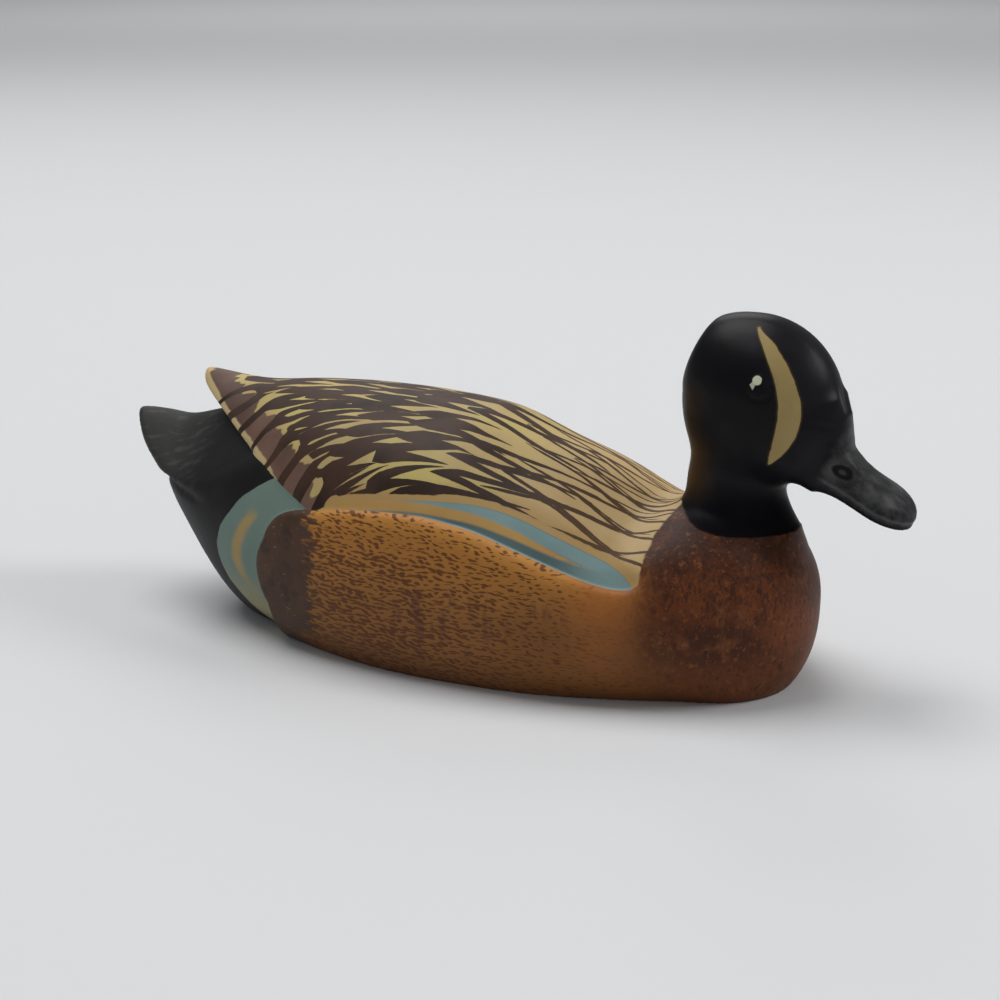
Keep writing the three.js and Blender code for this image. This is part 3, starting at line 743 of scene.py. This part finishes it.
def speculum_paint(s, place, under):
    x, share = s.field("x"), s.field("speculum_share")
    tan = s.over("tan", "dark tan", s.noise(place, 200, 2))
    blue = s.over("blue", "dark blue", s.noise(place, 160, 3))
    slate = s.over("slate", "dark slate", s.noise(place, 160, 3))
    lower = s.over(slate, blue, s.fade(x, 22, 34))
    band = s.over(blue, lower, s.fade(share, 0.4, 0.5))
    band = s.over(band, tan, s.fade(s.field("stripe"), -0.25, 0.25))
    band = s.over(band, "blue rim", s.fade(s.field("lip"), 0.5, 0.1) * s.fade(x, -6, 8))
    band = s.over(band, "green edge", s.fade(share, 0.06, 0.0) * s.fade(x, -6, 6) * 0.5)
    return s.over(under, band, s.fade(s.field("speculum"), -0.12, 0.12))


def ochre_paint(s, x, y, z, soft, wave, wander):
    """The flank: ochre, browner below as painted shade and lighter at its lip, partly with painted
    highlight, with dashes that thin out towards the breast.
    """
    # Painted shade: the ochre darkens towards the bottom of the flank.
    ochre = s.over("flank", "flank in painted shade", s.fade(z + soft * 10.0, 30, 16))
    ochre = s.over(ochre, "flank's foot in painted shade", s.fade(z + soft * 6.0, 13, 4) * 0.9)
    # The lighter band under the flank's top edge is partly the paint's own airbrushed glow and partly
    # painted highlight.
    ochre = s.over(ochre, "flank's lip with painted highlight", s.fade(s.field("lip"), -3.5, -0.5) * 0.8)
    u = x + wave * 1.2
    v = z + x * 0.06 + s.wave(s.vector(x * 0.5, y * 0.5, z * 0.8 + 9.0), 0.6, 2) * 1.3
    marks = dash_ink(s, u, v) + wander * 0.25
    dense = s.fade(x, 50, -12, -0.13, 0.045) + s.fade(z, 27, 20, -0.08, 0.02)
    dense = dense + s.wave(s.vector(x * 1.6, y, z * 0.5), 0.22, 2) * 0.25
    ink = s.fade(marks + dense, -0.05, 0.07)
    mottle = s.spots(s.vector(x * 1.9, y, z * 0.55 + 30.0), 0.3, 0.52, 0.68)
    mottle = mottle * s.fade(z, 20, 15) * s.fade(z, 4, 8) * s.fade(x, -14, 0) * s.fade(x, 36, 26)
    ochre = s.over(ochre, "mottle", mottle * 0.7)
    behind_breast = s.fade(x, 4, 26) * s.fade(z + soft * 6.0, 23, 16)
    ochre = s.over(ochre, "flank behind the breast", behind_breast * 0.65)
    return s.over(ochre, "dash", ink * s.fade(x, 46, 32) * 0.86)


def breast_paint(s, place, x, y, z, soft):
    """The breast: a dark red, rubbed lighter below and beside the flank, with streaks and specks."""
    red = s.over("red", "dark red", s.spots(place, 60, 0.38, 0.62, 5, ROUGH_GRAIN))
    red = s.over(red, "rust", s.spots(place, 150, 0.52, 0.7, 4, ROUGH_GRAIN) * 0.7)
    red = s.over(red, "foot of the breast", s.fade(z + soft * 8.0, 18, 8) * 0.35)
    beside_flank = s.fade(x + y * y * 0.012 + soft * 10.0, 52, 43) * s.fade(z, 30, 22)
    red = s.over(red, "breast beside the flank", beside_flank * 0.7)
    top = s.fade(z + soft * 8.0, 24, 33) * s.spots(place, 130, 0.3, 0.55, 4, ROUGH_GRAIN)
    red = s.over(red, "top of the breast", top * 0.85)
    streak = s.noise(s.vector(x * 1.1, y * 1.1, z * 0.55), 0.75, 3)
    streak = streak + s.fade(z, 12, 26, -0.06, 0.02)
    red = s.over(red, "breast streak", s.fade(streak, 0.53, 0.68) * 0.6)
    grain = s.noise(s.vector(x * 1.2, y * 1.2, z * 0.7), 1.3, 4, ROUGH_GRAIN)
    grain = grain + s.fade(z, 8, 24, -0.04, 0.03)
    red = s.over(red, "breast grain", s.fade(grain, 0.5, 0.62) * 0.6)
    red = s.over(red, "breast speck", s.spots(s.vector(x, y, z - 20.0), 1.1, 0.56, 0.66, 4, 0.7) * 0.5)
    return s.over(red, "breast smudge", s.spots(s.vector(x, y + 40.0, z), 0.34, 0.62, 0.72) * 0.7)


def cap_paint(s, place, x, y, z):
    """The dark round end of the flank."""
    cap = s.over("cap", "dark cap", s.noise(place, 150, 3))
    cap = s.over(cap, "cap speck", s.spots(s.vector(x, y, z * 2.0), 0.9, 0.68, 0.74, 2) * 0.7)
    return s.over(cap, "cap grain", s.spots(place, 260, 0.5, 0.7, 4, ROUGH_GRAIN) * 0.6)


def flank_paint(s, place, wander):
    x, y, z = s.field("x"), s.field("y"), s.field("z")
    soft = s.noise(place, 45, 3)
    wave = s.wave(s.vector(x, y, z), 0.55, 2)
    paint = ochre_paint(s, x, y, z, soft, wave, wander)
    on_breast = s.fade(x + wander * 10.0 + soft * 14.0 + z * 0.45, 39, 60)
    paint = s.over(paint, breast_paint(s, place, x, y, z, soft), on_breast)
    toe = s.fade(x + soft * 8.0, 47, 37) * s.fade(x, 24, 33) * s.fade(z, 27, 20) * s.fade(z, 5, 13)
    paint = s.over(paint, "toe", toe * s.fade(z, 13, 18, 0.3, 0.75))
    low = s.least(z - 8.0, 0.0) * 0.8
    ragged = s.wave(s.vector(x * 0.35, y * 0.5, z * 1.7), 0.9, 3) * 14.0
    return s.over(paint, cap_paint(s, place, x, y, z), s.fade(x - low + ragged + wave * 6.0, -20.5, -23.5))


def rump_paint(s, place, wander):
    x, z = s.field("x"), s.field("z")
    black = s.over("rump", "worn rump", s.spots(place, 70, 0.45, 0.75, 4))
    on_fan = s.fade(z, 24, 28)
    # Painted sheen: lighter greys on the tail's fan, some of it in streaks.
    streaks = s.spots(s.vector(x * 0.35, z * 0.35, s.field("y") * 1.4), 0.8, 0.5, 0.72)
    black = s.over(black, "tail", s.fade(x, -52, -66) * on_fan * 0.7)
    black = s.over(black, "tail's sheen streak", streaks * s.fade(x, -50, -62) * on_fan * 0.45)
    patch = s.over("teal", "dark teal", s.noise(place, 120, 3))
    patch = s.over(patch, "foot of the patch", s.fade(z, 14, 4) * 0.85)
    bar = s.fade(s.field("bar") + wander * 0.6, 2.1, 0.4) * s.fade(z, 8, 15) * s.fade(z, 26, 23)
    patch = s.over(patch, "ochre bar", bar * 0.85)
    return s.over(black, patch, s.fade(s.field("patch") + wander * 0.4, -0.1, 0.1))


def bill_paint(s, place, along_bill, over_bill, wander):
    paint = s.over("bill", "worn bill", s.spots(place, 420, 0.38, 0.66, 5, 0.7))
    # Lighter grey mottling on top of the bill: partly worn paint and partly painted sheen.
    top = s.spots(place, 180, 0.5, 0.7, 4) * s.fade(over_bill, 0.0, 1.4)
    paint = s.over(paint, "bill's top with painted sheen", top * 0.7)
    # Painted highlight: a light line along the bill's edge above the lip.
    lip = s.fade(s.absolute(over_bill + 0.5 + wander * 0.4), 0.45, 0.1)
    paint = s.over(paint, "painted highlight on the lip", lip * 0.45)
    # Painted shade: the nostril's hollow is darkened round its raised middle.
    along_pit = s.math("POWER", (along_bill - NOSTRIL["along"]) / 1.9, 2.0)
    pit = s.math("SQRT", along_pit + s.math("POWER", over_bill - 2.2, 2.0))
    return s.over(paint, "nostril", s.fade(pit, 1.15, 0.8) * s.fade(pit, 0.2, 0.5))


def head_paint(s, place, wander):
    x, z = s.field("x"), s.field("z")
    black = s.over("head", "worn head", s.spots(place, 90, 0.45, 0.7, 4))
    nape = s.fade(x, 47, 39) * s.fade(z, 31, 37) * s.fade(z, 55, 46)
    black = s.over(black, "olive", nape * s.spots(place, 100, 0.3, 0.6, 4) * 0.9)
    along_bill, over_bill = s.field("bill"), s.field("bill_over")
    on_bill = s.fade(along_bill + wander, -0.4, 1.2) * s.fade(over_bill, -1.6, -1.0)
    black = s.over(black, bill_paint(s, place, along_bill, over_bill, wander), on_bill)
    crescent = s.field("crescent") + wander * 0.25
    black = s.over(black, "crescent's rim", s.fade(crescent, -0.35, -0.2) * 0.7)
    cream = s.over("crescent", "dark crescent", s.noise(place, 200, 3))
    black = s.over(black, cream, s.fade(crescent, -0.08, 0.08))
    dot = s.fade(s.field("eye") + wander * 0.3, 0.84, 0.7)
    smear = s.fade(s.absolute(x - 52.6) * 1.5 + s.absolute(z - 54.3) + wander, 0.9, 0.7)
    return s.over(black, "eye dot", s.largest(dot, smear * 0.8))


def duck_colour(s, place):
    """The paint's colour, and how much it belongs to the glossier head."""
    wander = s.wave(place, 700, 2)
    back = speculum_paint(s, place, back_paint(s, place, wander))
    is_wing = s.fade(s.field("is_wing"), -0.05, 0.05)
    is_flank = s.fade(s.field("is_flank"), -0.05, 0.05)
    nape = s.fade(s.field("x") + wander * 0.7 - s.fade(s.field("z"), 28, 33) * 1.5, 37.6, 38.1)
    nape = nape * s.fade(s.field("z"), 18.5, 19.5)
    is_head = s.fade(s.field("is_head") + wander * 0.3, -0.15, 0.15)
    colour = s.over(rump_paint(s, place, wander), back, is_wing)
    colour = s.over(colour, flank_paint(s, place, wander), s.largest(is_flank, nape))
    return s.over(colour, head_paint(s, place, wander), is_head), is_head


def duck_material():
    s = Shader("painted wood")
    place = Num(s, s.node("ShaderNodeTexCoord").outputs["Object"])
    colour, is_head = duck_colour(s, place)
    s.feed(s.surface.inputs["Base Color"], colour)
    rough = s.noise(place, 160, 3) * FINISH["rough_spread"] + FINISH["rough"]
    s.feed(s.surface.inputs["Roughness"], rough - is_head * FINISH["head_smoother"])
    duller = s.fade(s.field("z"), *FINISH["neck_z"]) * FINISH["neck_dull"] + FINISH["head_less"]
    s.feed(s.surface.inputs["Specular IOR Level"], FINISH["shine"] - is_head * duller)
    grain = s.noise(place, 420, 4, 0.6)
    bump_node = s.node("ShaderNodeBump", {
        "Height": grain, "Strength": FINISH["grain"], "Distance": FINISH["grain_deep"]})
    s.tree.links.new(bump_node.outputs[0], s.surface.inputs["Normal"])
    return s.material


def add_to_scene(name, data):
    made = bpy.data.objects.new(name, data)
    bpy.context.scene.collection.objects.link(made)
    return made


def make_duck():
    points, quads = duck_surface(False)
    mesh = bpy.data.meshes.new("duck")
    mesh.from_pydata((points * MM).tolist(), [], quads.tolist())
    mesh.validate()
    mesh.polygons.foreach_set("use_smooth", np.ones(len(mesh.polygons), bool))
    for name, values in paint_fields(points).items():
        mesh.attributes.new(name, "FLOAT", "POINT").data.foreach_set("value", values.astype(np.float32))
    mesh.materials.append(duck_material())
    mesh.update()
    return add_to_scene("duck", mesh)


# The stage, in metres and watts. The camera's place is in millimetres.
FLOOR = {"half": 30.0, "colour": (0.70, 0.706, 0.715, 1), "roughness": 0.8}
LAMPS = (
    {"name": "overhead", "place": (-0.75, 0.15, 2.2), "aim": (0, 0, 0), "size": 1.7, "power": 35},
    {"name": "window", "place": (1.3, 0.5, 0.95), "aim": (0, 0, 0), "size": 0.7, "power": 9},
    {"name": "middle lamps", "place": (-2.0, 4.0, 3.2), "aim": (-2.0, 4.0, 0), "size": 2.8, "power": 38},
    {"name": "far lamps", "place": (-4.0, 8.0, 4.0), "aim": (-4.0, 8.0, 0), "size": 5.0, "power": 78},
    {"name": "far lamps behind", "place": (4.0, -8.0, 4.0), "aim": (4.0, -8.0, 0), "size": 5.0,
     "power": 78},
)
ROOM = {"colour": (0.96, 0.98, 1.0, 1), "strength": 0.22}
CAMERA = {"yaw": 26.477, "pitch": 15.78, "roll": -0.15, "place": (147.64, -292.25, 118.48),
          "lens": 67.47, "sensor": 36, "nearest": 0.01}


def make_floor():
    s = Shader("pale floor")
    s.surface.inputs["Base Color"].default_value = FLOOR["colour"]
    s.surface.inputs["Roughness"].default_value = FLOOR["roughness"]
    mesh = bpy.data.meshes.new("floor")
    half = FLOOR["half"]
    corners = [(-half, -half, 0), (half, -half, 0), (half, half, 0), (-half, half, 0)]
    mesh.from_pydata(corners, [], [(0, 1, 2, 3)])
    mesh.materials.append(s.material)
    made = add_to_scene("floor", mesh)


def make_lamp(name, place, aim, size, power):
    lamp = bpy.data.lights.new(name, "AREA")
    lamp.shape = "DISK"
    lamp.size = size
    lamp.energy = power
    made = add_to_scene(name, lamp)
    made.location = place
    made.rotation_euler = (Vector(aim) - Vector(place)).to_track_quat("-Z", "Y").to_euler()


def make_stage():
    make_floor()
    for lamp in LAMPS:
        make_lamp(**lamp)
    world = bpy.data.worlds.new("room")
    world.use_nodes = True
    background = world.node_tree.nodes["Background"]
    background.inputs["Color"].default_value = ROOM["colour"]
    background.inputs["Strength"].default_value = ROOM["strength"]
    bpy.context.scene.world = world
    bpy.context.scene.view_settings.view_transform = "Standard"


def make_camera():
    lens = bpy.data.cameras.new("camera")
    lens.sensor_width = CAMERA["sensor"]
    lens.lens = CAMERA["lens"]
    lens.clip_start = CAMERA["nearest"]
    made = add_to_scene("camera", lens)
    made.location = [v * MM for v in CAMERA["place"]]
    level = Euler((math.radians(90 - CAMERA["pitch"]), 0, math.radians(CAMERA["yaw"]))).to_matrix()
    tilt = Matrix.Rotation(math.radians(CAMERA["roll"]), 3, "Z")
    made.rotation_euler = (level @ tilt).to_euler()
    bpy.context.scene.camera = made


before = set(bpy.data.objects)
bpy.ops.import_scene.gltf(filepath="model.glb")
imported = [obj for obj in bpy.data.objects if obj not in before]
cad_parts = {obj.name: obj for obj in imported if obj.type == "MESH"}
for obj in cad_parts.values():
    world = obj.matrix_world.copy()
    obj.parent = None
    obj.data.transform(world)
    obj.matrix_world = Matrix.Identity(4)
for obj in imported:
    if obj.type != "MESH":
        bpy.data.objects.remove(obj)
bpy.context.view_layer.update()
duck_piece = make_duck()
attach(duck_piece, "root")
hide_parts("duck_figurine")
make_stage()
make_camera()
